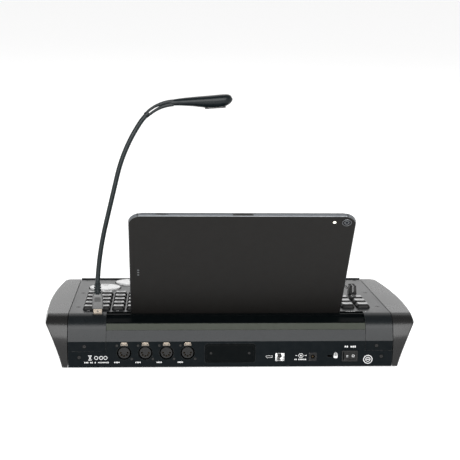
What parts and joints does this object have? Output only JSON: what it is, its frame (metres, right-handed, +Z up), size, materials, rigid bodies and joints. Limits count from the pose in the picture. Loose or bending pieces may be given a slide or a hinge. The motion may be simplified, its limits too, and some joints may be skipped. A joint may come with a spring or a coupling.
{
  "type": "lighting control desk",
  "caption": "Sloped lighting desk with key pads, long faders, encoder wheels, rear sockets, a docked tablet and a plug-in gooseneck lamp",
  "frame": {"origin": "on the floor, under the middle of the whole's footprint with the tablet docked; the rear panel's outer face is 102.1 mm behind it", "axes": "+X to the operator's left along the rear panel, +Y from the rear panel to the operator, +Z up"},
  "size_m": [0.5018, 0.3594, 0.3567],
  "materials": {
    "paint": "fine texture, satin",
    "moulding": "satin moulded",
    "black_gloss": "gloss",
    "smoked": "smoked, gloss",
    "black_screw": "black oxide",
    "bright": "bright nickel",
    "steel": "zinc plated",
    "gold": "gold plated",
    "rubber": "matt",
    "board": "solder mask",
    "key": "translucent grey caps",
    "cable": "flat cable",
    "wheel": "light grey, satin",
    "tablet_metal": "anodised, dark grey",
    "glass": "cover glass over a black border",
    "lens": "frosted"
  },
  "bodies": {
    "desk": {"lower_tray": "paint", "top_cover": "paint", "left_cheek": "moulding", "right_cheek": "moulding", "case_screws": "black_screw", "feet": "rubber", "tablet_dock": "black_gloss", "dock_pads": "rubber", "rear_trim_strip": "smoked", "xlr_shells": "black_gloss", "xlr_inserts": "black_gloss", "contact_pins": "gold", "panel_screws": "black_screw", "port_cover": "black_gloss", "port_shells": "bright", "port_inserts": "black_gloss", "switch_body": "black_gloss", "main_board": "board", "key_board": "board", "fader_board": "board", "fader_bodies": "steel", "encoder_bodies": "steel", "key_switches": "black_gloss", "ribbon_cables": "cable", "board_screws": "steel"},
    "fader_1": {"fader_1": "black_gloss"},
    "fader_2": {"fader_2": "black_gloss"},
    "fader_3": {"fader_3": "black_gloss"},
    "fader_4": {"fader_4": "black_gloss"},
    "fader_5": {"fader_5": "black_gloss"},
    "fader_6": {"fader_6": "black_gloss"},
    "fader_7": {"fader_7": "black_gloss"},
    "fader_8": {"fader_8": "black_gloss"},
    "fader_9": {"fader_9": "black_gloss"},
    "fader_10": {"fader_10": "black_gloss"},
    "wheel_1": {"wheel_1": "wheel"},
    "wheel_2": {"wheel_2": "wheel"},
    "wheel_3": {"wheel_3": "wheel"},
    "wheel_4": {"wheel_4": "wheel"},
    "small_keys_1": {"small_keys_1": "key"},
    "small_keys_2": {"small_keys_2": "key"},
    "small_keys_3": {"small_keys_3": "key"},
    "small_keys_4": {"small_keys_4": "key"},
    "small_keys_5": {"small_keys_5": "key"},
    "large_keys_1": {"large_keys_1": "key"},
    "large_keys_2": {"large_keys_2": "key"},
    "large_keys_3": {"large_keys_3": "key"},
    "xlr_latches": {"xlr_latches": "bright"},
    "switch_rocker": {"switch_rocker": "black_gloss"},
    "lamp": {"lamp_plug": "bright", "lamp_grip": "moulding"},
    "neck_lower": {"neck_lower": "rubber"},
    "neck_middle": {"neck_middle": "rubber"},
    "neck_upper": {"neck_upper": "rubber"},
    "lamp_head": {"lamp_head": "black_gloss", "lamp_lens": "lens"},
    "tablet": {"tablet_shell": "tablet_metal", "tablet_glass": "glass", "tablet_camera": "glass"},
    "tablet_button": {"tablet_button": "tablet_metal"}
  },
  "joints": [
    {"name": "fader_1_slide", "type": "slide", "parent": "desk", "child": "fader_1", "axis": [0, 0.9922, -0.1243], "range_m": [0, 0.1]},
    {"name": "fader_2_slide", "type": "slide", "parent": "desk", "child": "fader_2", "axis": [0, 0.9922, -0.1243], "range_m": [0, 0.1]},
    {"name": "fader_3_slide", "type": "slide", "parent": "desk", "child": "fader_3", "axis": [0, 0.9922, -0.1243], "range_m": [0, 0.1]},
    {"name": "fader_4_slide", "type": "slide", "parent": "desk", "child": "fader_4", "axis": [0, 0.9922, -0.1243], "range_m": [0, 0.1]},
    {"name": "fader_5_slide", "type": "slide", "parent": "desk", "child": "fader_5", "axis": [0, 0.9922, -0.1243], "range_m": [0, 0.1]},
    {"name": "fader_6_slide", "type": "slide", "parent": "desk", "child": "fader_6", "axis": [0, 0.9922, -0.1243], "range_m": [0, 0.1]},
    {"name": "fader_7_slide", "type": "slide", "parent": "desk", "child": "fader_7", "axis": [0, 0.9922, -0.1243], "range_m": [0, 0.1]},
    {"name": "fader_8_slide", "type": "slide", "parent": "desk", "child": "fader_8", "axis": [0, 0.9922, -0.1243], "range_m": [0, 0.1]},
    {"name": "fader_9_slide", "type": "slide", "parent": "desk", "child": "fader_9", "axis": [0, 0.9922, -0.1243], "range_m": [0, 0.1]},
    {"name": "fader_10_slide", "type": "slide", "parent": "desk", "child": "fader_10", "axis": [0, 0.9922, -0.1243], "range_m": [0, 0.1]},
    {"name": "wheel_1_turn", "type": "hinge", "parent": "desk", "child": "wheel_1", "pos_m": [-0.176, 0.10732, 0.04613], "axis": [0, 0.1243, 0.9922], "continuous": true},
    {"name": "wheel_2_turn", "type": "hinge", "parent": "desk", "child": "wheel_2", "pos_m": [-0.139, 0.149, 0.04091], "axis": [0, 0.1243, 0.9922], "continuous": true},
    {"name": "wheel_3_turn", "type": "hinge", "parent": "desk", "child": "wheel_3", "pos_m": [-0.079, 0.149, 0.04091], "axis": [0, 0.1243, 0.9922], "continuous": true},
    {"name": "wheel_4_turn", "type": "hinge", "parent": "desk", "child": "wheel_4", "pos_m": [-0.042, 0.10732, 0.04613], "axis": [0, 0.1243, 0.9922], "continuous": true},
    {"name": "small_keys_1_press", "type": "slide", "parent": "desk", "child": "small_keys_1", "axis": [0, 0.1243, 0.9922], "range_m": [-0.0012, 0], "stiffness_N_per_m": 400},
    {"name": "small_keys_2_press", "type": "slide", "parent": "desk", "child": "small_keys_2", "axis": [0, 0.1243, 0.9922], "range_m": [-0.0012, 0], "stiffness_N_per_m": 400},
    {"name": "small_keys_3_press", "type": "slide", "parent": "desk", "child": "small_keys_3", "axis": [0, 0.1243, 0.9922], "range_m": [-0.0012, 0], "stiffness_N_per_m": 400},
    {"name": "small_keys_4_press", "type": "slide", "parent": "desk", "child": "small_keys_4", "axis": [0, 0.1243, 0.9922], "range_m": [-0.0012, 0], "stiffness_N_per_m": 400},
    {"name": "small_keys_5_press", "type": "slide", "parent": "desk", "child": "small_keys_5", "axis": [0, 0.1243, 0.9922], "range_m": [-0.0012, 0], "stiffness_N_per_m": 400},
    {"name": "large_keys_1_press", "type": "slide", "parent": "desk", "child": "large_keys_1", "axis": [0, 0.1243, 0.9922], "range_m": [-0.0012, 0], "stiffness_N_per_m": 400},
    {"name": "large_keys_2_press", "type": "slide", "parent": "desk", "child": "large_keys_2", "axis": [0, 0.1243, 0.9922], "range_m": [-0.0012, 0], "stiffness_N_per_m": 400},
    {"name": "large_keys_3_press", "type": "slide", "parent": "desk", "child": "large_keys_3", "axis": [0, 0.1243, 0.9922], "range_m": [-0.0012, 0], "stiffness_N_per_m": 400},
    {"name": "xlr_latches_press", "type": "slide", "parent": "desk", "child": "xlr_latches", "axis": [0, 1, 0], "range_m": [0, 0.002], "stiffness_N_per_m": 400},
    {"name": "switch_rocker_tilt", "type": "hinge", "parent": "desk", "child": "switch_rocker", "pos_m": [0.1582, -0.09808, 0.018], "axis": [0, 0, 1], "range_deg": [-14, 0]},
    {"name": "lamp_unplug", "type": "slide", "parent": "desk", "child": "lamp", "axis": [0, 0.1243, 0.9922], "range_m": [0, 0.02]},
    {"name": "neck_lower_bend", "type": "hinge", "parent": "lamp", "child": "neck_lower", "pos_m": [-0.1774, -0.06304, 0.10859], "axis": [0, 0.9922, -0.1243], "range_deg": [-30, 20], "stiffness_Nm_per_rad": 2},
    {"name": "neck_middle_bend", "type": "hinge", "parent": "neck_lower", "child": "neck_middle", "pos_m": [-0.16636, -0.05345, 0.1851], "axis": [0, 0.9922, -0.1243], "range_deg": [-25, 20], "stiffness_Nm_per_rad": 2},
    {"name": "neck_upper_bend", "type": "hinge", "parent": "neck_middle", "child": "neck_upper", "pos_m": [-0.15094, -0.04535, 0.24979], "axis": [0, 0.9922, -0.1243], "range_deg": [-25, 20], "stiffness_Nm_per_rad": 2},
    {"name": "lamp_head_bend", "type": "hinge", "parent": "neck_upper", "child": "lamp_head", "pos_m": [-0.12103, -0.03672, 0.3187], "axis": [0, 0.9922, -0.1243], "range_deg": [-30, 30], "stiffness_Nm_per_rad": 2},
    {"name": "tablet_lift", "type": "slide", "parent": "desk", "child": "tablet", "axis": [0, -0.549, 0.8358], "range_m": [0, 0.03]},
    {"name": "tablet_button_press", "type": "slide", "parent": "tablet", "child": "tablet_button", "axis": [0, 0.549, -0.8358], "range_m": [0, 0.0004], "stiffness_N_per_m": 400}
  ]
}
